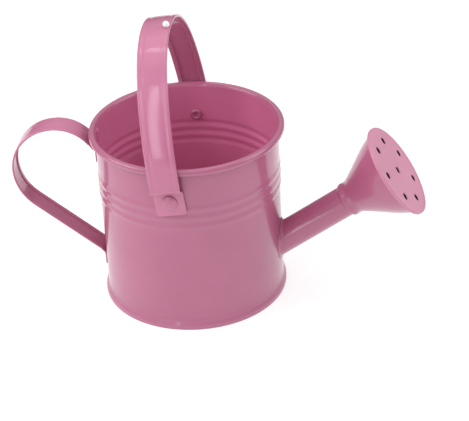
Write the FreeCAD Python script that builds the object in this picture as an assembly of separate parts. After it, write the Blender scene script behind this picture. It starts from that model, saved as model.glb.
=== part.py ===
import FreeCAD, Part
import math
import os

# A small painted sheet-metal watering can. All sizes are in millimetres.
# Own frame: origin at the centre of the foot on the ground, +Z up, spout towards +X,
# rear handle towards -X, front bail rivet towards -Y.

V = FreeCAD.Vector
AXIS_Y = V(0, 1, 0)
AXIS_Z = V(0, 0, 1)

# ---------------------------------------------------------------- driving dimensions
can_height = 100.7
wall_radius = 50.0          # outside of the wall, just under the rim
foot_flare = 0.4            # how much wider the wall is at the foot
foot_band = 4.0             # the wall is at its widest below this height
flare_top = 10.0            # and straight above this one
sheet = 0.6                 # wall, base, spout and rose stock

rim_curl_radius = 2.0
rim_curl_facets = 6         # the curl rolls outwards and down against the wall

bead_count = 3
bead_height = 0.5
bead_pitch = 5.4            # the beads follow one another without a gap
first_bead_below_rim = 25.0

foot_seam = 1.25            # thickness of the rolled seam outside the wall
foot_seam_height = 3.2
base_recess = 3.0           # underside of the base disc above the ground
lock_seam_width = 4.6
lock_seam_height = 0.7

spout_turn = -1.1           # small turn of the spout about the can's axis, degrees
spout_elevation = 35.3
spout_height = 29.5         # where the spout's axis meets the wall
tube_radius = 8.6
tube_end = 50.0             # along the spout's axis, from the wall
tube_stub = 1.4             # how far the tube reaches into the can
saddle_width = 1.6

collar_length = 5.0         # how far the rose's collar reaches over the tube
collar_wrap = 1.0           # thickness of the collar, with its solder
rose_length = 29.4          # from the end of the tube to the front of the face
face_radius = 26.5
face_flange = 1.3           # the trumpet ends this far inside the face's edge
rose_hole_radius = 2.0
rose_ring_radius = 18.2
rose_ring_count = 7
rose_ring_start = 1.9       # first ring hole, degrees from the sideways direction

strap_sheet = 0.8
hem_width = 2.8

handle_turn = 2.4           # small turn of the rear handle about the can's axis
handle_width = 14.4
handle_upper_bend_below_rim = 15.5
handle_upper_bend_radius = 6.0
handle_rise_angle = 55.0
handle_rise_length = 3.7
handle_crest_radius = 22.0
handle_back_radius = 26.0
handle_lower_radius = 28.0
handle_fall_angle = 39.5
handle_lower_bend_radius = 5.0
upper_tab_length = 5.6      # flat on the wall, below the bend
lower_tab_length = 7.2
tab_sink = 0.15             # the flat strap is trimmed to the round wall by this much

pivot_x = -2.5
pivot_below_rim = 19.7
bail_lean = -6.8            # at rest the bail leans towards the rear handle
bail_width = 16.1
bail_rim_gap = 3.9          # from the rim to the middle of the strap's sheet, where it is widest
bail_rise = 85.0
bail_curve_drop = 6.0       # the arch's widest level lies this far below the pivot
bail_curve_power = 2.1
hem_start = 9.5             # the hems stop this far above the pivot
ear_bottom = 7.8
ear_flat_top = 4.7
ear_corner = 1.5
ear_wall_gap = 0.3          # between the ear and the top bead

rivet_shank_radius = 1.9
rivet_running_clearance = 0.05
rivet_head_overhang = 2.2   # beyond the shank
rivet_head_height = 1.3
rivet_head_gap = 0.3
rivet_wall = 0.65
clinch_overhang = 1.4       # beyond the shank
clinch_depth = 1.4

button_radius = 2.0         # a small round bead
button_seat = 1.5           # its middle above the strap
button_stem_radius = 1.0
button_across = 6.0         # from the strap's middle line, towards the spout
button_along = -5.4         # from the crown, towards the front

# ---------------------------------------------------------------- derived sizes
foot_radius = wall_radius + foot_flare
rim_centre_z = can_height - rim_curl_radius
rim_centre_radius = wall_radius - sheet + rim_curl_radius
rim_outer_radius = rim_centre_radius + rim_curl_radius
top_bead_z = can_height - first_bead_below_rim
pivot_z = can_height - pivot_below_rim
handle_upper_bend_z = can_height - handle_upper_bend_below_rim
upper_tab_bottom = handle_upper_bend_z - upper_tab_length
bail_half_span = rim_outer_radius + bail_rim_gap


def wall_outer(z):
    """Outside radius of the plain wall at height z."""
    share = (z - foot_band) / (flare_top - foot_band)
    return foot_radius + (wall_radius - foot_radius) * min(max(share, 0.0), 1.0)


ear_inner_y = wall_radius + bead_height + ear_wall_gap
ear_outer_y = ear_inner_y + strap_sheet
rivet_head_y = ear_outer_y + rivet_head_gap
rivet_head_radius = rivet_shank_radius + rivet_head_overhang
rivet_bore_radius = rivet_shank_radius - rivet_wall
clinch_radius = rivet_shank_radius + clinch_overhang
clinch_y = math.sqrt((wall_radius - sheet) ** 2 - (abs(pivot_x) + clinch_radius) ** 2)

collar_start = tube_end - collar_length
collar_radius = tube_radius + collar_wrap
rose_front = tube_end + rose_length
cone_end = rose_front - 2 * sheet
cone_radius = face_radius - face_flange


def line(a, b):
    return Part.makeLine(V(a[0], 0, a[1]), V(b[0], 0, b[1]))


def arc(a, middle, b):
    return Part.Arc(V(a[0], 0, a[1]), V(middle[0], 0, middle[1]), V(b[0], 0, b[1])).toShape()


def facets(centre, radius, start, end, count):
    """Points along a rolled edge, from one angle to another."""
    step = (end - start) / count
    return [ring_point(centre, radius, start + i * step) for i in range(count + 1)]


def ring_point(centre, radius, degrees):
    a = math.radians(degrees)
    return (centre[0] + radius * math.cos(a), centre[1] + radius * math.sin(a))


def revolved(points, degrees=360.0):
    """Turn a closed outline of (radius, height) points about the +Z axis."""
    outline = Part.makePolygon([V(x, 0, z) for x, z in points + points[:1]])
    return Part.Face(outline).revolve(V(0, 0, 0), AXIS_Z, degrees)


def wall_side(inset):
    """Points of one side of the wall from foot to rim, with its row of pressed beads."""
    points = [(foot_radius - inset, foot_band), (wall_radius - inset, flare_top)]
    for i in range(2 * bead_count + 1):
        z = top_bead_z + bead_pitch * (0.5 * i + 0.5 - bead_count)
        crest = bead_height if i % 2 else 0.0
        points.append((wall_outer(z) - inset + crest, z))
    points.append((wall_radius - inset, rim_centre_z))
    return points


def wall_band(inner_offset, outer_offset, low, high, degrees=360.0):
    """A thin band that follows the plain wall between two heights."""
    levels = [low] + [z for z in (foot_band, flare_top) if low < z < high] + [high]
    outer = [(wall_outer(z) + outer_offset, z) for z in levels]
    inner = [(wall_outer(z) + inner_offset, z) for z in levels]
    return revolved(outer + inner[::-1], degrees)


def filled_can():
    """Everything inside the wall's outer surface, used to trim what sits on the wall."""
    return revolved([(0, 0), (foot_radius, 0)] + wall_side(0.0) + [(0, rim_centre_z)])


# ---------------------------------------------------------------- can wall
def make_wall():
    centre = (rim_centre_radius, rim_centre_z)
    curl_end = -math.degrees(math.acos((wall_radius - rim_centre_radius) / rim_curl_radius))
    curl = facets(centre, rim_curl_radius, 180.0, curl_end, rim_curl_facets)
    foot = [(foot_radius - sheet, sheet), (foot_radius, sheet)]
    wall = revolved(foot + wall_side(0.0)[:-1] + curl[::-1] + wall_side(sheet)[:-1][::-1])
    wall.rotate(V(0, 0, 0), AXIS_Z, 45.0)

    low = base_recess + 2 * sheet
    high = rim_centre_z - 1.5
    spread = math.degrees(lock_seam_width / wall_radius)
    seam = wall_band(-sheet - lock_seam_height, -0.1, low, high, spread)
    seam.rotate(V(0, 0, 0), AXIS_Z, 180.0 + handle_turn - spread / 2)
    wall = wall.fuse(seam)

    rivet_hole = Part.makeCylinder(rivet_shank_radius, 2 * rivet_head_y,
                                   V(pivot_x, -rivet_head_y, pivot_z), AXIS_Y)
    wall = wall.cut(rivet_hole)
    return wall.cut(on_spout(Part.makeCylinder(tube_radius, 40, V(0, 0, -20))))


# ---------------------------------------------------------------- base
def make_base():
    """Recessed disc whose edge goes down inside the wall, round its foot and up outside it."""
    snug = foot_radius - sheet
    inner = snug - sheet
    outer = foot_radius + foot_seam
    return revolved([
        (0, base_recess),
        (inner, base_recess),
        (inner, 0),
        (outer - sheet, 0),
        (outer, sheet),
        (outer, foot_seam_height - sheet),
        (foot_radius, foot_seam_height),
        (foot_radius, sheet),
        (snug, sheet),
        (snug, base_recess + sheet),
        (0, base_recess + sheet),
    ])


# ---------------------------------------------------------------- spout and rose
def on_spout(shape):
    """Place a shape built along its own +Z axis onto the spout's axis."""
    turn = math.radians(spout_turn)
    reach = wall_outer(spout_height)
    start = V(reach * math.cos(turn), reach * math.sin(turn), spout_height)
    spin = FreeCAD.Rotation(AXIS_Z, spout_turn).multiply(
        FreeCAD.Rotation(AXIS_Y, 90.0 - spout_elevation))
    placed = shape.copy()
    placed.Placement = FreeCAD.Placement(start, spin).multiply(shape.Placement)
    return placed


def make_tube():
    bore_radius = tube_radius - sheet
    tube = Part.makeCylinder(tube_radius, tube_end + 20, V(0, 0, -20))
    flange = Part.makeCylinder(tube_radius + saddle_width, 40, V(0, 0, -20))
    bore = on_spout(Part.makeCylinder(bore_radius, tube_end + 60, V(0, 0, -30)))
    low = spout_height - 3 * tube_radius
    high = spout_height + 3 * tube_radius
    inside = Part.makeCylinder(wall_radius - sheet - tube_stub, can_height)
    tube = on_spout(tube).cut(inside)
    flange = on_spout(flange)
    saddle = flange.common(wall_band(0.0, sheet, max(low, foot_band), high))
    clinch = flange.common(wall_band(-2 * sheet, -sheet, max(low, foot_band), high))
    return tube.fuse([saddle, clinch]).cut(bore).removeSplitter()


def make_rose_cone():
    """Cone with a collar over the tube and a flange for the face."""
    widening = (cone_radius - collar_radius) / (cone_end - tube_end)
    wrap = sheet * math.hypot(1.0, widening)
    flange_radius = face_radius - sheet
    flange_front = rose_front - sheet
    return on_spout(revolved([
        (tube_radius, collar_start),
        (collar_radius, collar_start),
        (collar_radius, tube_end),
        (cone_radius, cone_end),
        (flange_radius, cone_end),
        (flange_radius, flange_front),
        (cone_radius - wrap, flange_front),
        (cone_radius - wrap, cone_end),
        (collar_radius - wrap, tube_end),
        (tube_radius, tube_end),
    ]))


def make_rose_face():
    """Flat disc pressed over the trumpet's flange, with its holes."""
    back = rose_front - sheet
    lip = rose_front - 3 * sheet
    soft = 0.4
    face = revolved([
        (0, back),
        (face_radius - sheet, back),
        (face_radius - sheet, lip),
        (face_radius, lip),
        (face_radius, rose_front - soft),
        (face_radius - soft, rose_front),
        (0, rose_front),
    ])
    places = [(0.0, 0.0)]
    for i in range(rose_ring_count):
        a = math.radians(rose_ring_start + i * 360.0 / rose_ring_count)
        places.append((-rose_ring_radius * math.sin(a), rose_ring_radius * math.cos(a)))
    for x, y in places:
        face = face.cut(Part.makeCylinder(rose_hole_radius, 4 * sheet, V(x, y, back - sheet)))
    return on_spout(face)


# ---------------------------------------------------------------- straps
def strap_section(width, hemmed):
    """Corners of a strap's section: first value across, second outwards from the sheet's middle."""
    half = width / 2
    out = strap_sheet / 2
    if not hemmed:
        return [(-half, out), (half, out), (half, -out), (-half, -out)]
    deep = out - 2 * strap_sheet
    hem = half - hem_width
    right = [(half, out), (half, deep), (hem, deep), (hem, -out)]
    return right + [(-x, z) for x, z in right[::-1]]


def sweep_strap(spine_edges, section, start, across, outwards):
    """Sweep a strap section along a flat spine; 'across' is the strap's width direction."""
    corners = [start + across * x + outwards * z for x, z in section]
    pipe = Part.BRepOffsetAPI.MakePipeShell(Part.Wire(spine_edges))
    pipe.setBiNormalMode(across)
    pipe.add(Part.makePolygon(corners + corners[:1]))
    pipe.build()
    pipe.makeSolid()
    return pipe.shape()


def advance_arc(point, heading, radius, turn):
    """Edge of an arc that starts at a point with a heading; a negative turn is clockwise."""
    side = 1.0 if turn > 0 else -1.0

    def at(angle):
        a = math.radians(angle)
        return (centre[0] + side * radius * math.sin(a), centre[1] - side * radius * math.cos(a))

    a = math.radians(heading)
    centre = (point[0] - side * radius * math.sin(a), point[1] + side * radius * math.cos(a))
    end = at(heading + turn)
    return arc(point, at(heading + turn / 2), end), end, heading + turn


def arc_to(point, heading, end):
    """Edge of the arc that leaves a point with a heading and ends at another point."""
    half_turn = math.degrees(math.atan2(end[1] - point[1], end[0] - point[0])) - heading
    radius = math.dist(point, end) / (2 * math.sin(math.radians(abs(half_turn))))
    return advance_arc(point, heading, radius, 2 * half_turn)


def advance_line(point, heading, length):
    a = math.radians(heading)
    end = (point[0] + length * math.cos(a), point[1] + length * math.sin(a))
    return line(point, end), end


def make_rear_handle():
    """Built towards +X and then turned to the rear."""
    half_sheet = strap_sheet / 2
    start = (wall_outer(handle_upper_bend_z) + half_sheet - tab_sink, handle_upper_bend_z)
    rise = handle_rise_angle
    fall = 180.0 - handle_fall_angle
    bend_a, point, heading = advance_arc(start, 90.0, handle_upper_bend_radius, rise - 90.0)
    run_a, point = advance_line(point, heading, handle_rise_length)
    loop_start = point
    loop = []
    turns = [(handle_crest_radius, -rise), (handle_back_radius, -90.0), (handle_lower_radius, 90.0 - fall)]
    for radius, turn in turns:
        edge, point, heading = advance_arc(point, heading, radius, turn)
        loop.append(edge)
    fall_direction = math.radians(heading)
    bend_reach = handle_lower_bend_radius * (1 - math.cos(math.radians(fall - 90.0)))
    wall_z = point[1] - (point[0] - wall_radius) * math.tan(math.radians(handle_fall_angle))
    stop = wall_outer(wall_z) + half_sheet - tab_sink
    length = (point[0] - stop - bend_reach) / -math.cos(fall_direction)
    run_b, point = advance_line(point, heading, length)
    loop.append(run_b)
    loop_end = point
    bend_b, point, heading = advance_arc(point, heading, handle_lower_bend_radius, fall - 90.0)

    rise_a = math.radians(rise)
    away = V(-math.sin(rise_a), 0, math.cos(rise_a))
    hemmed = strap_section(handle_width, True)
    plain = strap_section(handle_width, False)
    loop_solid = sweep_strap(loop, hemmed, V(loop_start[0], 0, loop_start[1]), AXIS_Y, away)
    upper = sweep_strap([bend_a, run_a], plain, V(start[0], 0, start[1]), AXIS_Y, V(-1, 0, 0))
    away = V(-math.sin(fall_direction), 0, math.cos(fall_direction))
    lower = sweep_strap([bend_b], plain, V(loop_end[0], 0, loop_end[1]), AXIS_Y, away)

    tabs = []
    spans = [(upper_tab_bottom, handle_upper_bend_z + 1.0), (point[1] - lower_tab_length, point[1] + 1.0)]
    for low, high in spans:
        box = Part.makeBox(20, handle_width, high - low, V(wall_radius - 10, -handle_width / 2, low))
        corners = [e for e in box.Edges if abs(e.Vertexes[0].X - e.Vertexes[-1].X) > 1
                   and abs(e.Vertexes[0].Z - low) < 0.01]
        box = box.makeFillet(3.0, corners)
        tabs.append(box.common(wall_band(0.0, strap_sheet, low - 2, high + 2)))
    handle = loop_solid.fuse([upper, lower] + tabs).cut(filled_can()).removeSplitter()
    handle.rotate(V(0, 0, 0), AXIS_Z, 180.0 + handle_turn)
    return handle


def lean_bail(shape):
    leaned = shape.copy()
    leaned.rotate(V(pivot_x, 0, pivot_z), AXIS_Y, bail_lean)
    return leaned


def arch_height(y):
    """Height of the bail's sheet above the pivot at sideways distance y."""
    share = (abs(y) / bail_half_span) ** bail_curve_power
    return bail_rise * (1 - share) ** (1 / bail_curve_power) - bail_curve_drop


def arch_half_width(height):
    share = ((height + bail_curve_drop) / bail_rise) ** bail_curve_power
    return bail_half_span * (1 - share) ** (1 / bail_curve_power)


def make_ear(leg_y, lean_in):
    """Flat ear and the joggle that brings it out to the strap's leg, built towards +X."""
    middle = ear_inner_y + strap_sheet / 2
    ear_foot = (middle, -ear_bottom)
    flat_end = (middle, ear_flat_top)
    leg = (leg_y, hem_start)
    # The joggle is two arcs that share a tangent where they meet.
    steepness = math.hypot(lean_in, 1.0)
    leg_x, leg_z = lean_in / steepness, 1 / steepness
    run = leg_y - middle
    rise = hem_start - ear_flat_top
    along = run * leg_x + rise * (1 + leg_z)
    length = run ** 2 + rise ** 2
    reach = length / (along + math.sqrt(along ** 2 + 2 * (1 - leg_z) * length))
    halfway = ((middle + leg_y - reach * leg_x) / 2, (ear_flat_top + hem_start + reach * (1 - leg_z)) / 2)
    out_bend, point, heading = arc_to(flat_end, 90.0, halfway)
    up_bend, point, heading = arc_to(halfway, heading, leg)
    ear = sweep_strap([line(ear_foot, flat_end), out_bend, up_bend], strap_section(bail_width, False),
                      V(ear_foot[0], 0, ear_foot[1]), AXIS_Y, V(1, 0, 0))
    corners = [e for e in ear.Edges if abs(e.Vertexes[0].Z - ear_foot[1]) < 0.01
               and abs(e.Vertexes[0].X - e.Vertexes[-1].X) > strap_sheet / 2]
    return ear.makeFillet(ear_corner, corners)


def make_bail():
    leg_y = arch_half_width(hem_start)
    step = 0.5
    lean_in = (arch_half_width(hem_start + step) - leg_y) / step
    steepness = math.hypot(lean_in, 1.0)
    count = 14
    top_angle = math.acos(((hem_start + bail_curve_drop) / bail_rise) ** (bail_curve_power / 2))
    points = []
    for i in range(count + 1):
        a = -top_angle + 2 * top_angle * i / count
        wide = bail_half_span * abs(math.sin(a)) ** (2 / bail_curve_power)
        high = bail_rise * math.cos(a) ** (2 / bail_curve_power) - bail_curve_drop
        points.append(V(pivot_x, math.copysign(wide, a), pivot_z + high))
    spine = Part.BSplineCurve()
    rising = V(0, -lean_in, 1.0)
    falling = V(0, -lean_in, -1.0)
    spine.interpolate(Points=points, InitialTangent=rising, FinalTangent=falling)
    across = V(1, 0, 0)
    outwards = V(0, -1 / steepness, -lean_in / steepness)
    strap = sweep_strap([spine.toShape()], strap_section(bail_width, True),
                        points[0], across, outwards)

    ears = []
    for heading in (-90.0, 90.0):
        ear = make_ear(leg_y, lean_in)
        ear.rotate(V(0, 0, 0), AXIS_Z, heading)
        ear.translate(V(pivot_x, 0, pivot_z))
        ears.append(ear)
    bail = strap.fuse(ears)

    hole_radius = rivet_shank_radius + rivet_running_clearance
    bail = bail.cut(Part.makeCylinder(hole_radius, 2 * rivet_head_y,
                                      V(pivot_x, -rivet_head_y, pivot_z), AXIS_Y))
    stem_hole = Part.makeCylinder(button_stem_radius, 10, V(0, 0, -5))
    bail = bail.cut(on_crown(stem_hole))
    return lean_bail(bail.removeSplitter())


def on_crown(shape):
    """Place a shape on the strap's outer face near the crown of the arch."""
    step = 0.5
    slope = (arch_height(button_along + step) - arch_height(button_along - step)) / (2 * step)
    top = pivot_z + arch_height(button_along) + strap_sheet / 2
    placed = shape.copy()
    tilt = FreeCAD.Rotation(V(1, 0, 0), math.degrees(math.atan(slope)))
    placed.Placement = FreeCAD.Placement(V(pivot_x + button_across, button_along, top), tilt)
    return placed


def make_button():
    """Bead on a short stem through the strap."""
    deep = -2 * strap_sheet
    low = -math.degrees(math.asin(button_seat / button_radius))
    bead = facets((0, button_seat), button_radius, low, 90.0, 4)
    outline = [(0, deep), (button_stem_radius, deep), (button_stem_radius, 0)] + bead
    return lean_bail(on_crown(revolved(outline)))


# ---------------------------------------------------------------- rivets
def make_rivet(side):
    """Tubular rivet: domed head outside, hollow shank, rolled clinch inside the can."""
    bottom = clinch_y - clinch_depth
    bore_end = rivet_head_y - 0.4
    roll = 0.9
    rim = 0.35
    crown = rivet_head_height - rim
    ball = (rivet_head_radius ** 2 + crown ** 2) / (2 * crown)
    ball_centre = (0, rivet_head_y + rivet_head_height - ball)
    spread = math.degrees(math.asin(rivet_head_radius / ball))
    head = facets(ball_centre, ball, 90.0 - spread, 90.0, 2)
    outline = [
        (0, bore_end),
        (rivet_bore_radius, bore_end),
        (rivet_bore_radius, bottom + roll),
    ]
    outline += facets((rivet_bore_radius + roll, bottom + roll), roll, 180.0, 270.0, 1)[1:]
    outline += facets((clinch_radius - roll, bottom + roll), roll, 270.0, 360.0, 1)
    outline += [
        (clinch_radius, clinch_y),
        (rivet_shank_radius, clinch_y),
        (rivet_shank_radius, rivet_head_y),
        (rivet_head_radius, rivet_head_y),
    ]
    rivet = revolved(outline + head)
    rivet.rotate(V(0, 0, 0), V(1, 0, 0), 90.0 if side < 0 else -90.0)
    rivet.translate(V(pivot_x, 0, pivot_z))
    return rivet


nodes = {
    "can_wall": make_wall(),
    "can_base": make_base(),
    "spout_tube": make_tube(),
    "rose_cone": make_rose_cone(),
    "rose_face": make_rose_face(),
    "rear_handle": make_rear_handle(),
    "bail_handle": make_bail(),
    "bail_rivet_front": make_rivet(-1),
    "bail_rivet_rear": make_rivet(1),
    "strap_button": make_button(),
}

os.makedirs("parts", exist_ok=True)
for name, shape in nodes.items():
    shape.exportStep("parts/" + name + ".step")
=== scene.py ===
import math

import bmesh
import bpy
from mathutils import Matrix, Quaternion, Vector


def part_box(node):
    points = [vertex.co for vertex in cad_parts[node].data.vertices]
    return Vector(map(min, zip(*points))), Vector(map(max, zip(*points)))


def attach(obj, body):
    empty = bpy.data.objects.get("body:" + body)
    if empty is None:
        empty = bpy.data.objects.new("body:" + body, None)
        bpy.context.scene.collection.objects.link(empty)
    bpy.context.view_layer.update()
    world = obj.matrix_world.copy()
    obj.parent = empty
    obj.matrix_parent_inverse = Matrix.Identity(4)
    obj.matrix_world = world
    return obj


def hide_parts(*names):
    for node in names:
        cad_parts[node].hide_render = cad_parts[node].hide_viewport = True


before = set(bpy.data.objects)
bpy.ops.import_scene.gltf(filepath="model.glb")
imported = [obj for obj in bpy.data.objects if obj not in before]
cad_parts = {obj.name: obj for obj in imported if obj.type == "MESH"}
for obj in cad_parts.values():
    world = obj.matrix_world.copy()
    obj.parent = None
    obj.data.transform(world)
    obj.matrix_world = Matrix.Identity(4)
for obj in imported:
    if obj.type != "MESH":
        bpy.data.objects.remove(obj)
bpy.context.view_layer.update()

# ------------------------------------------------------------------ sizes, in millimetres
MM = 0.001

CAN_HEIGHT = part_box("can_wall")[1].z / MM
WALL_RADIUS = 50.0
FOOT_RADIUS = 50.4
FOOT_BAND = 4.0             # the wall is at its widest below this height
FLARE_TOP = 10.0            # and straight above this one
SHEET = 0.6                 # wall, base, spout and rose stock
CURL_RADIUS = 2.0
BEAD_COUNT = 3
BEAD_HEIGHT = 0.5
BEAD_PITCH = 5.4
FIRST_BEAD_BELOW_RIM = 25.0
FOOT_SEAM = 1.25            # thickness of the rolled seam outside the wall
FOOT_SEAM_SHOULDER = 1.9
FOOT_SEAM_TOP = 5.4         # where the seam's soft shoulder meets the wall
FOOT_ROLL = 0.62
BASE_RECESS = 3.0           # underside of the base disc above the ground
LOCK_SEAM_WIDTH = 4.6
LOCK_SEAM_HEIGHT = 0.7

SPOUT_TURN = -1.1
SPOUT_ELEVATION = 35.3
SPOUT_HEIGHT = 29.5
TUBE_RADIUS = 8.6
TUBE_END = 50.0
SADDLE_WIDTH = 1.6
SPOUT_CUT_REACH = 12.0      # how far the hole in the wall is cut each way along the spout
COLLAR_START = 45.0
COLLAR_RADIUS = 9.6
COLLAR_BEAD = 0.12
ROSE_FRONT = 79.4           # front of the face, along the spout's axis from the wall
CONE_END = ROSE_FRONT - 2 * SHEET
FACE_RADIUS = 26.5
FACE_FLANGE = 1.3           # the trumpet ends this far inside the face's edge
FACE_SEAT_GAP = 0.02
ROSE_HOLE_RADIUS = 2.0
ROSE_RING_RADIUS = 18.2
ROSE_RING_COUNT = 7
ROSE_RING_START = 1.9

STRAP_SHEET = 0.8
HEM_WIDTH = 2.8
EDGE_ROUNDING = 0.28
HANDLE_TURN = 2.4
HANDLE_WIDTH = 14.4
HANDLE_SHEET = 0.55         # the loop's rolled edges look thinner than the bail's
HANDLE_CROWN = 0.1
HANDLE_UPPER_BEND_Z = 85.2
HANDLE_UPPER_BEND_RADIUS = 6.0
HANDLE_RISE_ANGLE = 55.0
HANDLE_RISE_LENGTH = 3.7
HANDLE_CREST_RADIUS = 22.0
HANDLE_BACK_RADIUS = 26.0
HANDLE_LOWER_RADIUS = 28.0
HANDLE_FALL_ANGLE = 39.5
HANDLE_LOWER_BEND_RADIUS = 5.0
UPPER_TAB_BOTTOM = 79.6
UPPER_TAB_FLATTENING = 4.0  # length over which the round tab turns into the flat strap
LOWER_TAB_BOTTOM = 13.6
LOWER_TAB_FLATTENING = 3.5
TAB_CORNER = 3.0
TAB_SINK = 0.15

PIVOT_X = -2.5
PIVOT_Z = 81.0
BAIL_LEAN = -6.8            # at rest the bail leans towards the rear handle
BAIL_WIDTH = 16.1
BAIL_CROWN = 0.18
BAIL_HALF_SPAN = 57.3
BAIL_RISE = 85.0
BAIL_CURVE_DROP = 6.0
BAIL_CURVE_POWER = 2.1
HEM_START = 9.5             # the hems stop this far above the pivot
EAR_BOTTOM = 7.8
EAR_FLAT_TOP = 4.7
EAR_JOGGLE = 2.3            # length of the joggle's guide lines
EAR_CORNER = 1.5
EAR_WALL_GAP = 0.3

RIVET_SHANK_RADIUS = 1.9
RIVET_HEAD_RADIUS = 4.1
RIVET_HEAD_HEIGHT = 1.3
RIVET_HEAD_RIM = 0.35
RIVET_HEAD_GAP = 0.3
RIVET_BORE_RADIUS = 1.25
CLINCH_RADIUS = 3.3
CLINCH_DEPTH = 1.4
CLINCH_ROLL = 0.9
BUTTON_RADIUS = 1.85
BUTTON_SEAT = 1.4           # its middle above the strap
BUTTON_STEM_RADIUS = 1.0
BUTTON_STEM_DEPTH = 1.6
BUTTON_ACROSS = 6.0         # from the strap's middle line, towards the spout
BUTTON_ALONG = -5.4         # from the crown, towards the front

ROUND_STEPS = 224           # corners of a full turn

RIM_Z = CAN_HEIGHT - CURL_RADIUS
RIM_RADIUS = WALL_RADIUS - SHEET + CURL_RADIUS
TOP_BEAD_Z = CAN_HEIGHT - FIRST_BEAD_BELOW_RIM


def wall_outer(z):
    """Outside radius of the plain wall at height z."""
    share = min(max((z - FOOT_BAND) / (FLARE_TOP - FOOT_BAND), 0.0), 1.0)
    return FOOT_RADIUS + (WALL_RADIUS - FOOT_RADIUS) * share * share * (3 - 2 * share)


def bead(z):
    """How far the pressed beads lift the sheet at height z."""
    offset = (TOP_BEAD_Z - z) / BEAD_PITCH
    nearest = min(max(round(offset), 0), BEAD_COUNT - 1)
    distance = abs(offset - nearest)
    if distance > 0.5:
        return 0.0
    return BEAD_HEIGHT * math.cos(math.pi * distance) ** 2


EAR_INNER_Y = wall_outer(TOP_BEAD_Z - BEAD_PITCH) + BEAD_HEIGHT + EAR_WALL_GAP
EAR_OUTER_Y = EAR_INNER_Y + STRAP_SHEET
RIVET_HEAD_Y = EAR_OUTER_Y + RIVET_HEAD_GAP
CLINCH_Y = math.sqrt((WALL_RADIUS - SHEET) ** 2 - (abs(PIVOT_X) + CLINCH_RADIUS) ** 2)


# ------------------------------------------------------------------ mesh helpers
def mesh_object(name, points, faces, merge):
    """An object from points in millimetres, with points closer than merge (in metres) joined."""
    mesh = bpy.data.meshes.new(name)
    mesh.from_pydata([tuple(MM * c for c in p) for p in points], [], faces)
    cleaned = bmesh.new()
    cleaned.from_mesh(mesh)
    bmesh.ops.remove_doubles(cleaned, verts=cleaned.verts, dist=merge)
    bmesh.ops.recalc_face_normals(cleaned, faces=cleaned.faces)
    cleaned.to_mesh(mesh)
    cleaned.free()
    made = bpy.data.objects.new(name, mesh)
    bpy.context.scene.collection.objects.link(made)
    return made


def add_piece(name, points, faces, material, body, node=None, sharp=38.0):
    """A finished piece that rides on a body; edges sharper than an angle in degrees stay crisp."""
    piece = mesh_object(name, points, faces, 1e-6)
    finish_surface(piece, sharp)
    piece.data.materials.append(material)
    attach(piece, body)
    if node:
        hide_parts(node)
    return piece


def finish_surface(piece, sharp):
    piece.data.shade_smooth()
    piece.data.set_sharp_from_angle(angle=math.radians(sharp))


def grid_faces(rows, columns, loop_rows=False):
    """Four-cornered faces of a grid of points whose columns close into a ring."""
    faces = []
    for i in range(rows if loop_rows else rows - 1):
        for j in range(columns):
            a = i * columns + j
            b = i * columns + (j + 1) % columns
            below = ((i + 1) % rows) * columns
            faces.append((a, b, below + (j + 1) % columns, below + j))
    return faces


def turned(outline, place=None, steps=ROUND_STEPS, closed=True):
    """Points and faces of an outline of (radius, height) turned about +Z."""
    points = []
    for radius, height in outline:
        for k in range(steps):
            a = 2 * math.pi * k / steps
            point = Vector((radius * math.cos(a), radius * math.sin(a), height))
            points.append(place @ point if place else point)
    return points, grid_faces(len(outline), steps, loop_rows=closed)


def arc_points(centre, radius, start, end, count):
    """Points along an arc between two angles in degrees."""
    points = []
    for i in range(count + 1):
        a = math.radians(start + (end - start) * i / count)
        points.append((centre[0] + radius * math.cos(a), centre[1] + radius * math.sin(a)))
    return points


def cut_away(piece, tools):
    """Cut holes with helper meshes, which are then removed."""
    for tool in tools:
        change = piece.modifiers.new("hole", "BOOLEAN")
        change.operation = "DIFFERENCE"
        change.solver = "MANIFOLD"
        change.object = tool
    bpy.context.view_layer.update()
    evaluated = piece.evaluated_get(bpy.context.evaluated_depsgraph_get())
    mesh = bpy.data.meshes.new_from_object(evaluated)
    piece.modifiers.clear()
    piece.data = mesh
    for tool in tools:
        bpy.data.objects.remove(tool)


def cutter(name, outline, place, steps=48):
    """A closed helper solid turned about its own +Z."""
    points, faces = turned(outline, place, steps)
    return mesh_object(name, points, faces, 1e-7)


# ------------------------------------------------------------------ materials
def node(tree, kind, **inputs):
    """A new shader node with some of its inputs set."""
    made = tree.nodes.new(kind)
    for name, value in inputs.items():
        made.inputs[name.replace("_", " ")].default_value = value
    return made


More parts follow.
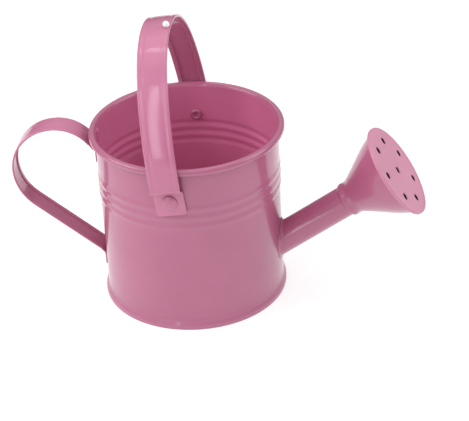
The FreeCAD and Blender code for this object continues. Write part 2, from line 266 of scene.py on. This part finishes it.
def paint(name, colour, deep, roughness, peel=0.00006, waviness=0.0004, coat=0.9):
    """Satin paint on thin sheet: soft colour drift, uneven gloss, orange peel and a gentle waviness."""
    material = bpy.data.materials.new(name)
    material.use_nodes = True
    tree = material.node_tree
    link = tree.links.new
    shader = tree.nodes["Principled BSDF"]
    where = tree.nodes.new("ShaderNodeTexCoord")

    drift = node(tree, "ShaderNodeTexNoise", Scale=28.0, Detail=3.0, Roughness=0.55)
    link(where.outputs["Object"], drift.inputs["Vector"])
    tone = tree.nodes.new("ShaderNodeValToRGB")
    tone.color_ramp.elements[0].position = 0.30
    tone.color_ramp.elements[0].color = (*deep, 1)
    tone.color_ramp.elements[1].position = 0.70
    tone.color_ramp.elements[1].color = (*colour, 1)
    link(drift.outputs["Fac"], tone.inputs["Fac"])
    link(tone.outputs["Color"], shader.inputs["Base Color"])

    smear = node(tree, "ShaderNodeTexNoise", Scale=95.0, Detail=4.0, Roughness=0.6)
    link(where.outputs["Object"], smear.inputs["Vector"])
    gloss = tree.nodes.new("ShaderNodeMapRange")
    gloss.inputs["To Min"].default_value = roughness - 0.05
    gloss.inputs["To Max"].default_value = roughness + 0.07
    link(smear.outputs["Fac"], gloss.inputs["Value"])
    link(gloss.outputs["Result"], shader.inputs["Roughness"])

    grain = node(tree, "ShaderNodeTexNoise", Scale=1400.0, Detail=2.0, Roughness=0.5)
    link(where.outputs["Object"], grain.inputs["Vector"])
    fine = node(tree, "ShaderNodeBump", Strength=0.55, Distance=peel)
    link(grain.outputs["Fac"], fine.inputs["Height"])
    wave = node(tree, "ShaderNodeTexNoise", Scale=42.0, Detail=1.5, Roughness=0.4)
    link(where.outputs["Object"], wave.inputs["Vector"])
    broad = node(tree, "ShaderNodeBump", Strength=0.35, Distance=waviness)
    link(wave.outputs["Fac"], broad.inputs["Height"])
    link(fine.outputs["Normal"], broad.inputs["Normal"])
    link(broad.outputs["Normal"], shader.inputs["Normal"])

    shader.inputs["Specular IOR Level"].default_value = 0.5
    shader.inputs["Coat Weight"].default_value = coat
    shader.inputs["Coat Roughness"].default_value = 0.1
    return material


PINK = paint("pink_paint", (0.455, 0.114, 0.224), (0.422, 0.102, 0.202), 0.42)
# Painted light: a lighter copy of the pink for the bail, its ears and the rear handle, making these
# straps look more brightly lit.
STRAP_PINK_PAINTED_LIGHT = paint("strap_paint_painted_light", (0.56, 0.160, 0.295), (0.52, 0.145, 0.268), 0.42)
# Painted light: a lighter copy of the pink for the base pan and its foot seam, brightening the foot
# roll.
BASE_PINK_PAINTED_LIGHT = paint("base_paint_painted_light", (0.49, 0.150, 0.265), (0.455, 0.135, 0.24), 0.45, coat=0.55)
RIVET_PINK = paint("rivet_pink_paint", (0.50, 0.14, 0.255), (0.46, 0.122, 0.226), 0.42,
                   peel=0.00009)
# Painted light: a lighter copy of the pink for the can's inside faces and lock seam, standing in for
# light that falls inside the can.
INSIDE_PAINTED_LIGHT = paint("inner_wall_painted_light", (0.71, 0.205, 0.385), (0.67, 0.187, 0.357), 0.46, coat=0.5)
FACE_PINK = paint("rose_face_paint", (0.63, 0.245, 0.37), (0.59, 0.224, 0.338), 0.55,
                  coat=0.15)
# Painted shade: near-black paint on the inside of the rose's trumpet, so that the face's holes look
# dark.
ROSE_PAINTED_SHADE = paint("rose_trumpet_painted_shade", (0.02, 0.006, 0.010), (0.012, 0.004, 0.007), 0.7,
             coat=0.0)
WHITE = paint("pale_button", (0.95, 0.95, 0.95), (0.90, 0.90, 0.91), 0.35, waviness=0.0001)


# ------------------------------------------------------------------ can wall and base
def wall_profile():
    """Closed outline of the wall: up the outside, over the curl, down the inside."""
    count = 150
    heights = [SHEET + (RIM_Z - SHEET) * i / count for i in range(count + 1)]
    outside = [(wall_outer(z) + bead(z), z) for z in heights]
    inside = [(wall_outer(z) - SHEET + bead(z), z) for z in heights[::-1]]
    centre = (RIM_RADIUS, RIM_Z)
    under = arc_points(centre, CURL_RADIUS - SHEET, 180.0, -120.0, 26)
    over = arc_points(centre, CURL_RADIUS, -120.0, 180.0, 30)
    return outside[:-1] + under + over + inside[1:]


def paint_faces(piece, material, chosen):
    """Give a second material to the faces that the test picks by their middle and normal; it carries
    the painted light inside the can and the painted shade inside the rose.
    """
    piece.data.materials.append(material)
    index = len(piece.data.materials) - 1
    for face in piece.data.polygons:
        if chosen(face.center / MM, face.normal):
            face.material_index = index


def build_wall():
    points, faces = turned(wall_profile())
    wall = add_piece("can_wall_skin", points, faces, PINK, "can", "can_wall")
    bore = TUBE_RADIUS - SHEET
    reach = SPOUT_CUT_REACH
    outline = [(0, -reach), (bore, -reach), (bore, reach), (0, reach)]
    cut_away(wall, [cutter("spout_cut", outline, spout_place(), 96)])
    finish_surface(wall, 38.0)

    def faces_in(middle, normal):
        inner = wall_outer(middle.z) - SHEET + bead(middle.z)
        return (middle.z < RIM_Z + SHEET
                and math.hypot(middle.x, middle.y) < inner + 0.1
                and normal.x * middle.x + normal.y * middle.y < 0)

    # Painted light: the inside faces take the lighter copy of the pink.
    paint_faces(wall, INSIDE_PAINTED_LIGHT, faces_in)
    return wall


def build_lock_seam():
    """The folded seam inside the can, behind the rear handle."""
    rows = []
    low = BASE_RECESS + 2 * SHEET
    high = RIM_Z - 1.5
    half = LOCK_SEAM_WIDTH / 2
    soft = 0.3
    count = 160
    middle = math.radians(180.0 + HANDLE_TURN)
    thin = LOCK_SEAM_HEIGHT * 0.8
    section = [(-half, -0.1), (-half, LOCK_SEAM_HEIGHT - soft), (-half + soft, LOCK_SEAM_HEIGHT),
               (half - soft, thin), (half, thin - soft), (half, -0.1)]
    for i in range(count + 1):
        z = low + (high - low) * i / count
        for across, lift in section:
            radius = wall_outer(z) - SHEET + bead(z) * 0.75 - lift
            a = middle + across / WALL_RADIUS
            rows.append((radius * math.cos(a), radius * math.sin(a), z))
    columns = len(section)
    faces = grid_faces(count + 1, columns)
    faces.append(tuple(range(columns)))
    faces.append(tuple(count * columns + j for j in range(columns)))
    # Painted light: the lock seam takes the inside's lighter copy of the pink.
    return add_piece("lock_seam", rows, faces, INSIDE_PAINTED_LIGHT, "can", sharp=50.0)


def build_base():
    """Recessed disc whose edge goes down inside the wall, round its foot and up outside it."""
    snug = FOOT_RADIUS - SHEET
    inner = snug - SHEET
    outer = FOOT_RADIUS + FOOT_SEAM
    roll = FOOT_ROLL
    top = FOOT_SEAM_TOP
    outline = [(0, BASE_RECESS)]
    outline += [(inner - 1.0, BASE_RECESS)]
    outline += arc_points((inner - 0.8, BASE_RECESS - 0.8), 0.8, 80, 0, 5)
    outline += arc_points((inner + roll, roll), roll, 180, 270, 6)
    outline += arc_points((outer - roll, roll), roll, 270, 360, 6)
    for i in range(17):
        share = i / 16
        ease = share * share * (3 - 2 * share)
        radius = outer + (FOOT_RADIUS + 0.03 - outer) * ease
        outline.append((radius, FOOT_SEAM_SHOULDER + (top - FOOT_SEAM_SHOULDER) * share))
    outline += [(FOOT_RADIUS - 0.1, top), (FOOT_RADIUS - 0.1, SHEET), (snug, SHEET)]
    outline += arc_points((snug - 0.6, BASE_RECESS), 0.6, 0, 90, 5)
    outline += [(snug - 2.0, BASE_RECESS + SHEET), (0, BASE_RECESS + SHEET)]
    points, faces = turned(outline)
    # Painted light: the base pan takes a lighter copy of the pink.
    return add_piece("can_base_pan", points, faces, BASE_PINK_PAINTED_LIGHT, "can", "can_base")


# ------------------------------------------------------------------ spout and rose
def spout_place():
    """From the spout's frame, +Z along its axis and origin at the wall, to the can's frame."""
    turn = math.radians(SPOUT_TURN)
    reach = wall_outer(SPOUT_HEIGHT)
    start = Matrix.Translation((reach * math.cos(turn), reach * math.sin(turn), SPOUT_HEIGHT))
    tip = math.radians(90.0 - SPOUT_ELEVATION)
    return start @ Matrix.Rotation(turn, 4, "Z") @ Matrix.Rotation(tip, 4, "Y")


def on_wall(place, radius, angle, offset):
    """Where a line along the spout's axis at that radius and angle meets the wall's surface."""
    x = radius * math.cos(angle)
    y = radius * math.sin(angle)
    low = -30.0
    high = 30.0
    for _ in range(40):
        middle = (low + high) / 2
        point = place @ Vector((x, y, middle))
        if math.hypot(point.x, point.y) < wall_outer(point.z) + offset:
            low = middle
        else:
            high = middle
    return (low + high) / 2


def build_tube():
    place = spout_place()
    bore = TUBE_RADIUS - SHEET
    steps = 128
    clear = 15.0            # from here on the tube is clear of the wall
    # radius, distance from the wall's outside, or distance along the axis once clear of it
    stations = [
        (bore, -2.0, None),
        (TUBE_RADIUS, -2.0, None),
        (TUBE_RADIUS, -SHEET, None),
        (TUBE_RADIUS + SADDLE_WIDTH, -0.02, None),
        (TUBE_RADIUS + SADDLE_WIDTH, 0.3, None),
        (TUBE_RADIUS + SADDLE_WIDTH * 0.85, 0.52, None),
        (TUBE_RADIUS + SADDLE_WIDTH * 0.5, 0.62, None),
        (TUBE_RADIUS + SADDLE_WIDTH * 0.22, 0.85, None),
        (TUBE_RADIUS + 0.08, 1.4, None),
        (TUBE_RADIUS, 2.4, None),
    ]
    along = [clear + (TUBE_END - clear) * i / 14 for i in range(15)]
    stations += [(TUBE_RADIUS, None, a) for a in along]
    stations += [(bore, None, a) for a in along[::-1]]
    points = []
    for radius, offset, reach in stations:
        for k in range(steps):
            a = 2 * math.pi * k / steps
            z = reach if offset is None else on_wall(place, radius, a, offset)
            points.append(place @ Vector((radius * math.cos(a), radius * math.sin(a), z)))
    faces = grid_faces(len(stations), steps, loop_rows=True)
    return add_piece("spout_tube_skin", points, faces, PINK, "can", "spout_tube")


def trumpet_radius(along):
    """Outside radius of the rose along the spout's axis: a gentle trumpet."""
    share = (along - TUBE_END) / (CONE_END - TUBE_END)
    swell = 0.045 * math.sin(math.pi * share) - 0.02 * math.sin(2 * math.pi * share)
    return COLLAR_RADIUS + (FACE_RADIUS - FACE_FLANGE - COLLAR_RADIUS) * (share + swell)


def build_rose_cone():
    place = spout_place()
    wrap = SHEET / math.cos(math.radians(30))
    lip = TUBE_RADIUS + 0.3
    front = ROSE_FRONT - SHEET - FACE_SEAT_GAP
    outline = [(TUBE_RADIUS, COLLAR_START + 0.1)]
    for i in range(9):
        a = math.radians(90.0 * i / 8)
        outline.append((lip + (COLLAR_RADIUS + COLLAR_BEAD - lip) * math.sin(a),
                        COLLAR_START + 1.6 * (1 - math.cos(a))))
    outline += [(COLLAR_RADIUS + 0.08, COLLAR_START + 2.4), (COLLAR_RADIUS, COLLAR_START + 3.2)]
    count = 30
    along = [TUBE_END + (CONE_END - TUBE_END) * i / count for i in range(count + 1)]
    outline += [(COLLAR_RADIUS, TUBE_END - 0.8)]
    outline += [(trumpet_radius(a), a) for a in along[1:]]
    outline += [(FACE_RADIUS - SHEET, CONE_END), (FACE_RADIUS - SHEET, front)]
    outline += [(trumpet_radius(CONE_END) - wrap, front)]
    outline += [(trumpet_radius(a) - wrap, a) for a in along[:2:-1]]
    outline += [(TUBE_RADIUS, TUBE_END + SHEET)]
    points, faces = turned(outline, place)
    rose = add_piece("rose_trumpet", points, faces, PINK, "can", "rose_cone")
    axis = place.to_3x3() @ Vector((0, 0, 1))
    start = place.translation

    def faces_in(middle, normal):
        away = middle - start
        away -= axis * away.dot(axis)
        return normal.dot(away) < 0 and (middle - start).dot(axis) > TUBE_END

    # Painted shade: the trumpet's inside faces beyond the tube are painted near black.
    paint_faces(rose, ROSE_PAINTED_SHADE, faces_in)
    return rose


def build_rose_face():
    place = spout_place()
    back = ROSE_FRONT - SHEET
    lip = ROSE_FRONT - 3 * SHEET
    roll = 0.5
    outline = [(0, back), (FACE_RADIUS - SHEET, back), (FACE_RADIUS - SHEET, lip)]
    outline += arc_points((FACE_RADIUS - 0.3, lip + 0.3), 0.3, 250, 360, 5)
    outline += arc_points((FACE_RADIUS - roll, ROSE_FRONT - roll), roll, 0, 90, 7)
    outline += [(FACE_RADIUS - 1.4, ROSE_FRONT - 0.05), (FACE_RADIUS - 2.0, ROSE_FRONT - 0.22),
                (FACE_RADIUS - 2.6, ROSE_FRONT - 0.26), (0, ROSE_FRONT - 0.02)]
    points, faces = turned(outline, place)
    face = add_piece("rose_face_disc", points, faces, FACE_PINK, "can", "rose_face")
    places = [(0.0, 0.0)]
    for i in range(ROSE_RING_COUNT):
        a = math.radians(ROSE_RING_START + i * 360.0 / ROSE_RING_COUNT)
        places.append((-ROSE_RING_RADIUS * math.sin(a), ROSE_RING_RADIUS * math.cos(a)))
    r = ROSE_HOLE_RADIUS
    top = ROSE_FRONT - 0.2
    outline = [(0, back - 1), (r, back - 1), (r, top - 0.3), (r + 0.22, top), (r + 0.35, top + 1),
               (0, top + 1)]
    cutters = []
    for i, (x, y) in enumerate(places):
        cutters.append(cutter(f"rose_cut_{i}", outline, place @ Matrix.Translation((x, y, 0))))
    cut_away(face, cutters)
    finish_surface(face, 30.0)
    return face


# ------------------------------------------------------------------ straps
def hemmed_section(width, sheet, crown):
    """Crowned outside with a shallow line inside each rolled edge, and hems folded under."""
    half = width / 2
    out = sheet / 2
    edge = sheet
    shoulder = half - edge
    hem = half - HEM_WIDTH
    deep = out - 2 * sheet
    groove = 0.12
    outside = []
    count = 28
    for i in range(count + 1):
        x = shoulder * (1 - 2 * i / count)
        dip = groove * math.exp(-((abs(x) - hem) / 0.55) ** 2)
        outside.append((x, out + crown * (1 - (x / shoulder) ** 2) - dip))
    right = arc_points((shoulder, out - edge), edge, -90, 90, 10)
    left = arc_points((-shoulder, out - edge), edge, 90, 270, 10)
    soft = 0.22
    hem_right = [(hem, -out + 0.02), (hem, deep + soft), (hem + soft, deep)]
    hem_left = [(-x, z) for x, z in hem_right[::-1]]
    return right[:-1] + outside + left[1:] + hem_left + hem_right


def plain_section(width):
    """Plain sheet with softened edges."""
    half = width / 2
    out = STRAP_SHEET / 2
    soft = EDGE_ROUNDING
    points = []
    for x, z, start in ((half, out, 0), (-half, out, 90), (-half, -out, 180), (half, -out, 270)):
        centre = (x - math.copysign(soft, x), z - math.copysign(soft, z))
        points += arc_points(centre, soft, start, start + 90, 4)
    return points


def swept(stations, sections, bend=None):
    """Skin a strip: each station is (place, across, outwards) and has its own section."""
    points = []
    for index, ((place, across, outwards), section) in enumerate(zip(stations, sections)):
        for x, z in section:
            point = place + across * x + outwards * z
            points.append(bend(point, x, z, index) if bend else point)
    rows = len(stations)
    columns = len(sections[0])
    faces = grid_faces(rows, columns)
    faces.append(tuple(range(columns)))
    faces.append(tuple((rows - 1) * columns + j for j in range(columns)))
    return points, faces


def walk(point, heading, pieces, step=0.8):
    """Stations (point, heading) along lines, given by length, and arcs, given by radius and turn."""
    stations = [(point, heading)]
    for piece in pieces:
        if isinstance(piece, tuple):
            radius, turn = piece
            count = max(int(radius * abs(math.radians(turn)) / step), 6)
            side = math.copysign(1.0, turn)
            a = math.radians(heading)
            centre = (point[0] - side * radius * math.sin(a), point[1] + side * radius * math.cos(a))
            for i in range(1, count + 1):
                now = heading + turn * i / count
                b = math.radians(now)
                point = (centre[0] + side * radius * math.sin(b),
                         centre[1] - side * radius * math.cos(b))
                stations.append((point, now))
            heading = now
        else:
            count = max(int(piece / step), 2)
            a = math.radians(heading)
            start = point
            for i in range(1, count + 1):
                length = piece * i / count
                point = (start[0] + length * math.cos(a), start[1] + length * math.sin(a))
                stations.append((point, heading))
    return stations


def handle_frames(stations):
    """Stations in the handle's plane as places with directions, turned to the rear of the can."""
    spin = Matrix.Rotation(math.radians(180.0 + HANDLE_TURN), 3, "Z")
    frames = []
    for (x, z), heading in stations:
        a = math.radians(heading)
        frames.append((spin @ Vector((x, 0, z)), spin @ Vector((0, 1, 0)),
                       spin @ Vector((-math.sin(a), 0, math.cos(a)))))
    return frames


def rounded_ends(section_of, width, distances, corner):
    """Sections whose width follows a rounded end, for stations at these distances from the end."""
    sections = []
    for d in distances:
        inset = 0.0
        if d < corner:
            inset = corner - math.sqrt(max(corner ** 2 - (corner - d) ** 2, 0.0))
        sections.append(section_of(width - 2 * inset))
    return sections


def tab_piece(name, stations, tab_length, flat_length, end_first):
    """A tab bent to the round wall that runs flat into the strap."""
    frames = handle_frames(stations)
    lengths = [0.0]
    for (a, _), (b, _) in zip(stations, stations[1:]):
        lengths.append(lengths[-1] + math.dist(a, b))
    total = lengths[-1]
    if not end_first:
        lengths = [total - d for d in lengths]
    sections = rounded_ends(plain_section, HANDLE_WIDTH, lengths, TAB_CORNER)
    spin = Matrix.Rotation(math.radians(180.0 + HANDLE_TURN), 3, "Z")

    def bend(point, x, z, index):
        share = min(max((lengths[index] - tab_length) / flat_length, 0.0), 1.0)
        share = share * share * (3 - 2 * share)
        height = stations[index][0][1]
        radius = wall_outer(height) + STRAP_SHEET / 2 + z
        a = x / WALL_RADIUS
        round_point = spin @ Vector((radius * math.cos(a), radius * math.sin(a), height))
        return round_point.lerp(point, share)

    points, faces = swept(frames, sections, bend)
    # Painted light: the tabs take the straps' lighter copy of the pink.
    return add_piece(name, points, faces, STRAP_PINK_PAINTED_LIGHT, "can")


def build_rear_handle():
    half_sheet = STRAP_SHEET / 2
    rise = HANDLE_RISE_ANGLE
    fall = 180.0 - HANDLE_FALL_ANGLE
    start = (wall_outer(HANDLE_UPPER_BEND_Z) + half_sheet - TAB_SINK, HANDLE_UPPER_BEND_Z)
    upper = walk(start, 90.0, [(HANDLE_UPPER_BEND_RADIUS, rise - 90.0), HANDLE_RISE_LENGTH], 0.4)
    point, heading = upper[-1]
    turns = [(HANDLE_CREST_RADIUS, -rise), (HANDLE_BACK_RADIUS, -90.0),
             (HANDLE_LOWER_RADIUS, 90.0 - fall)]
    loop = walk(point, heading, turns)
    point, heading = loop[-1]
    stop = wall_outer(LOWER_TAB_BOTTOM) + half_sheet - TAB_SINK
    bend_reach = HANDLE_LOWER_BEND_RADIUS * (1 - math.cos(math.radians(fall - 90.0)))
    length = (point[0] - stop - bend_reach) / -math.cos(math.radians(heading))
    arm = walk(point, heading, [length])
    loop += arm[1:]
    lower = walk(arm[-1][0], heading, [(HANDLE_LOWER_BEND_RADIUS, fall - 90.0)], 0.4)
    section = hemmed_section(HANDLE_WIDTH, HANDLE_SHEET, HANDLE_CROWN)
    points, faces = swept(handle_frames(loop), [section] * len(loop))
    # Painted light: the handle strap takes a lighter copy of the pink.
    add_piece("rear_handle_strap", points, faces, STRAP_PINK_PAINTED_LIGHT, "can", "rear_handle")

    length = HANDLE_UPPER_BEND_Z - UPPER_TAB_BOTTOM
    tab = walk((start[0], UPPER_TAB_BOTTOM), 90.0, [length], 0.35)
    tab_piece("rear_handle_upper_tab", tab + upper[1:], length, UPPER_TAB_FLATTENING, True)
    end = lower[-1][0]
    length = end[1] - LOWER_TAB_BOTTOM
    tab = walk(end, -90.0, [length], 0.35)
    tab_piece("rear_handle_lower_tab", lower + tab[1:], length, LOWER_TAB_FLATTENING, False)


def arch_height(y):
    """Height of the bail's arch above the pivot, this far from its middle."""
    share = (abs(y) / BAIL_HALF_SPAN) ** BAIL_CURVE_POWER
    return BAIL_RISE * (1 - share) ** (1 / BAIL_CURVE_POWER) - BAIL_CURVE_DROP


def arch_half_width(height):
    """How far the bail's arch is from its middle, this high above the pivot."""
    share = ((height + BAIL_CURVE_DROP) / BAIL_RISE) ** BAIL_CURVE_POWER
    return BAIL_HALF_SPAN * (1 - share) ** (1 / BAIL_CURVE_POWER)


def bail_place():
    """From the upright bail, with its pivot at the origin, to the leaning bail on the can."""
    return Matrix.Translation((PIVOT_X, 0, PIVOT_Z)) @ Matrix.Rotation(math.radians(BAIL_LEAN), 4, "Y")


def bail_frames(line_points):
    """Stations from points (y, height) along the bail, outwards on the left of travel."""
    frames = []
    count = len(line_points)
    for i, (y, h) in enumerate(line_points):
        before = line_points[max(i - 1, 0)]
        after = line_points[min(i + 1, count - 1)]
        along = Vector((0, after[0] - before[0], after[1] - before[1])).normalized()
        frames.append((Vector((0, y, h)), Vector((1, 0, 0)), Vector((0, -along.z, along.y))))
    return frames


def build_bail():
    place = bail_place()
    count = 150
    top_angle = math.acos(((HEM_START + BAIL_CURVE_DROP) / BAIL_RISE) ** (BAIL_CURVE_POWER / 2))
    line_points = []
    for i in range(count + 1):
        a = -top_angle + 2 * top_angle * i / count
        wide = BAIL_HALF_SPAN * abs(math.sin(a)) ** (2 / BAIL_CURVE_POWER)
        high = BAIL_RISE * math.cos(a) ** (2 / BAIL_CURVE_POWER) - BAIL_CURVE_DROP
        line_points.append((math.copysign(wide, a), high))
    section = hemmed_section(BAIL_WIDTH, STRAP_SHEET, BAIL_CROWN)
    points, faces = swept(bail_frames(line_points), [section] * len(line_points))
    points = [place @ p for p in points]
    # Painted light: the bail strap takes a lighter copy of the pink.
    add_piece("bail_strap", points, faces, STRAP_PINK_PAINTED_LIGHT, "bail", "bail_handle")

    step = 0.5
    lean_in = (arch_half_width(HEM_START + step) - arch_half_width(HEM_START)) / step
    middle_y = EAR_INNER_Y + STRAP_SHEET / 2
    reach = EAR_JOGGLE
    top = Vector((arch_half_width(HEM_START), HEM_START))
    poles = [Vector((middle_y, EAR_FLAT_TOP)), Vector((middle_y, EAR_FLAT_TOP + reach)),
             top - Vector((lean_in, 1.0)) * reach, top]
    ear = []
    for i in range(31):
        ear.append((middle_y, -EAR_BOTTOM + (EAR_BOTTOM + EAR_FLAT_TOP) * (i / 31) ** 1.5))
    for i in range(25):
        t = i / 24
        u = 1 - t
        p = poles[0] * u ** 3 + poles[1] * 3 * u * u * t + poles[2] * 3 * u * t * t + poles[3] * t ** 3
        ear.append((p.x, p.y))
    ear.append((top.x + 0.06 * lean_in, top.y + 0.6))
    from_end = [h + EAR_BOTTOM for _, h in ear]
    sections = rounded_ends(plain_section, BAIL_WIDTH, from_end, EAR_CORNER)
    for name, side in (("bail_ear_front", -1), ("bail_ear_rear", 1)):
        points, faces = swept(bail_frames([(-y, h) for y, h in ear]), sections)
        if side > 0:
            points = [Vector((p.x, -p.y, p.z)) for p in points]
        # Painted light: the ears take the bail's lighter copy of the pink.
        add_piece(name, [place @ p for p in points], faces, STRAP_PINK_PAINTED_LIGHT, "bail")


# ------------------------------------------------------------------ rivets and button
def build_rivet(name, side, cad_node):
    bottom = CLINCH_Y - CLINCH_DEPTH
    bore_end = RIVET_HEAD_Y - 0.4
    roll = CLINCH_ROLL
    crown = RIVET_HEAD_HEIGHT - RIVET_HEAD_RIM
    ball = (RIVET_HEAD_RADIUS ** 2 + crown ** 2) / (2 * crown)
    spread = math.degrees(math.asin(RIVET_HEAD_RADIUS / ball))
    outline = [(0, bore_end), (RIVET_BORE_RADIUS, bore_end), (RIVET_BORE_RADIUS, bottom + roll)]
    outline += arc_points((RIVET_BORE_RADIUS + roll, bottom + roll), roll, 180, 270, 8)[1:]
    outline += arc_points((CLINCH_RADIUS - roll, bottom + roll), roll, 270, 360, 8)
    outline += [(CLINCH_RADIUS, CLINCH_Y), (RIVET_SHANK_RADIUS, CLINCH_Y),
                (RIVET_SHANK_RADIUS, RIVET_HEAD_Y)]
    outline += arc_points((RIVET_HEAD_RADIUS - 0.15, RIVET_HEAD_Y + 0.15), 0.15, 270, 360, 3)
    centre = (0, RIVET_HEAD_Y + RIVET_HEAD_HEIGHT - ball)
    outline += arc_points(centre, ball, 90 - spread, 90, 16)
    place = Matrix.Translation((PIVOT_X, 0, PIVOT_Z))
    place = place @ Matrix.Rotation(math.radians(-90.0 * side), 4, "X")
    points, faces = turned(outline, place, 96)
    return add_piece(name, points, faces, RIVET_PINK, "can", cad_node)


def build_button():
    step = 0.5
    slope = (arch_height(BUTTON_ALONG + step) - arch_height(BUTTON_ALONG - step)) / (2 * step)
    top = arch_height(BUTTON_ALONG) + STRAP_SHEET / 2
    place = bail_place() @ Matrix.Translation((BUTTON_ACROSS, BUTTON_ALONG, top))
    place = place @ Matrix.Rotation(math.atan(slope), 4, "X")
    low = -math.degrees(math.asin(BUTTON_SEAT / BUTTON_RADIUS))
    outline = [(0, -BUTTON_STEM_DEPTH), (BUTTON_STEM_RADIUS, -BUTTON_STEM_DEPTH),
               (BUTTON_STEM_RADIUS, 0)]
    outline += arc_points((0, BUTTON_SEAT), BUTTON_RADIUS, low, 90, 24)
    points, faces = turned(outline, place, 64)
    return add_piece("strap_button_head", points, faces, WHITE, "bail", "strap_button")


build_wall()
build_lock_seam()
build_base()
build_tube()
build_rose_cone()
build_rose_face()
build_rear_handle()
build_bail()
build_rivet("bail_rivet_front_body", -1, "bail_rivet_front")
build_rivet("bail_rivet_rear_body", 1, "bail_rivet_rear")
build_button()


# ------------------------------------------------------------------ stage, light and camera
def build_floor():
    mesh = bpy.data.meshes.new("floor")
    size = 3.0
    corners = [(-size, -size, 0), (size, -size, 0), (size, size, 0), (-size, size, 0)]
    mesh.from_pydata(corners, [], [(0, 1, 2, 3)])
    floor = bpy.data.objects.new("floor", mesh)
    bpy.context.scene.collection.objects.link(floor)
    material = bpy.data.materials.new("pale_floor")
    material.use_nodes = True
    shader = material.node_tree.nodes["Principled BSDF"]
    shader.inputs["Base Color"].default_value = (0.4, 0.4, 0.4, 1)
    shader.inputs["Roughness"].default_value = 0.9
    shader.inputs["Emission Color"].default_value = (1, 1, 1, 1)
    shader.inputs["Emission Strength"].default_value = 0.7
    mesh.materials.append(material)


def area_light(name, place, aim, width, height, power, roll=0.0):
    """A soft light that faces its aim; roll turns its long side, in degrees."""
    light = bpy.data.lights.new(name, "AREA")
    light.shape = "RECTANGLE"
    light.size = width
    light.size_y = height
    light.energy = power
    lamp = bpy.data.objects.new(name, light)
    bpy.context.scene.collection.objects.link(lamp)
    lamp.location = place
    facing = (Vector(aim) - Vector(place)).to_track_quat("-Z", "Y")
    lamp.rotation_euler = (facing @ Quaternion((0, 0, 1), math.radians(roll))).to_euler()


def build_world(horizon, zenith):
    """A white dome, dim at the horizon and brighter overhead."""
    world = bpy.data.worlds.new("studio")
    world.use_nodes = True
    tree = world.node_tree
    where = tree.nodes.new("ShaderNodeTexCoord")
    split = tree.nodes.new("ShaderNodeSeparateXYZ")
    rise = tree.nodes.new("ShaderNodeMapRange")
    rise.inputs["From Min"].default_value = 0.1
    rise.inputs["From Max"].default_value = 0.75
    rise.inputs["To Min"].default_value = horizon
    rise.inputs["To Max"].default_value = zenith
    tree.links.new(where.outputs["Generated"], split.inputs["Vector"])
    tree.links.new(split.outputs["Z"], rise.inputs["Value"])
    tree.links.new(rise.outputs["Result"], tree.nodes["Background"].inputs["Strength"])
    tree.nodes["Background"].inputs["Color"].default_value = (1, 1, 1, 1)
    bpy.context.scene.world = world


CAMERA_AZIMUTH = 8.318
CAMERA_ELEVATION = 30.795
CAMERA_ROLL = -3.037
CAMERA_DISTANCE = 0.8588
CAMERA_AIM_HEIGHT = 0.060
CAMERA_AIM_RIGHT = 0.023678
CAMERA_AIM_UP = -0.013646
CAMERA_LENS = 118.5


def build_camera():
    azimuth = math.radians(CAMERA_AZIMUTH)
    elevation = math.radians(CAMERA_ELEVATION)
    roll = math.radians(CAMERA_ROLL)
    back = Vector((math.sin(azimuth) * math.cos(elevation),
                   -math.cos(azimuth) * math.cos(elevation),
                   math.sin(elevation)))
    right = Vector((math.cos(azimuth), math.sin(azimuth), 0))
    up = back.cross(right)
    aim = Vector((0, 0, CAMERA_AIM_HEIGHT)) + right * CAMERA_AIM_RIGHT + up * CAMERA_AIM_UP
    rolled_right = right * math.cos(roll) + up * math.sin(roll)
    rolled_up = up * math.cos(roll) - right * math.sin(roll)
    data = bpy.data.cameras.new("camera")
    data.lens = CAMERA_LENS
    data.sensor_width = 36.0
    data.clip_start = 0.01
    camera = bpy.data.objects.new("camera", data)
    bpy.context.scene.collection.objects.link(camera)
    turn = Matrix((rolled_right, rolled_up, back)).transposed()
    camera.matrix_world = Matrix.Translation(aim + back * CAMERA_DISTANCE) @ turn.to_4x4()
    bpy.context.scene.camera = camera


build_floor()
build_world(0.1, 0.85)
area_light("overhead", (0.0, 0.2, 1.3), (0, 0, 0.05), 1.1, 1.1, 2.2)
area_light("upper_front", (0.1, -0.85, 1.05), (0, 0, 0.1), 0.6, 0.4, 0.6)
area_light("key", (-1.0, -0.3, 0.75), (0, 0, 0.08), 0.8, 0.8, 6.2)
area_light("right_fill", (1.05, 0.1, 0.7), (0, 0, 0.08), 0.6, 0.6, 3.6)
area_light("strip", (-0.30, -0.91, 0.55), (0, 0, 0.13), 0.08, 1.0, 1.1, roll=11.0)
area_light("small_top", (-0.31, 0.12, 1.2), (0, 0, 0.15), 0.12, 0.25, 0.28)
area_light("low_left", (-0.60, -1.05, 0.12), (0.08, 0, 0.06), 0.5, 0.05, 0.45, roll=-40.0)
build_camera()
bpy.context.scene.view_settings.view_transform = "Standard"
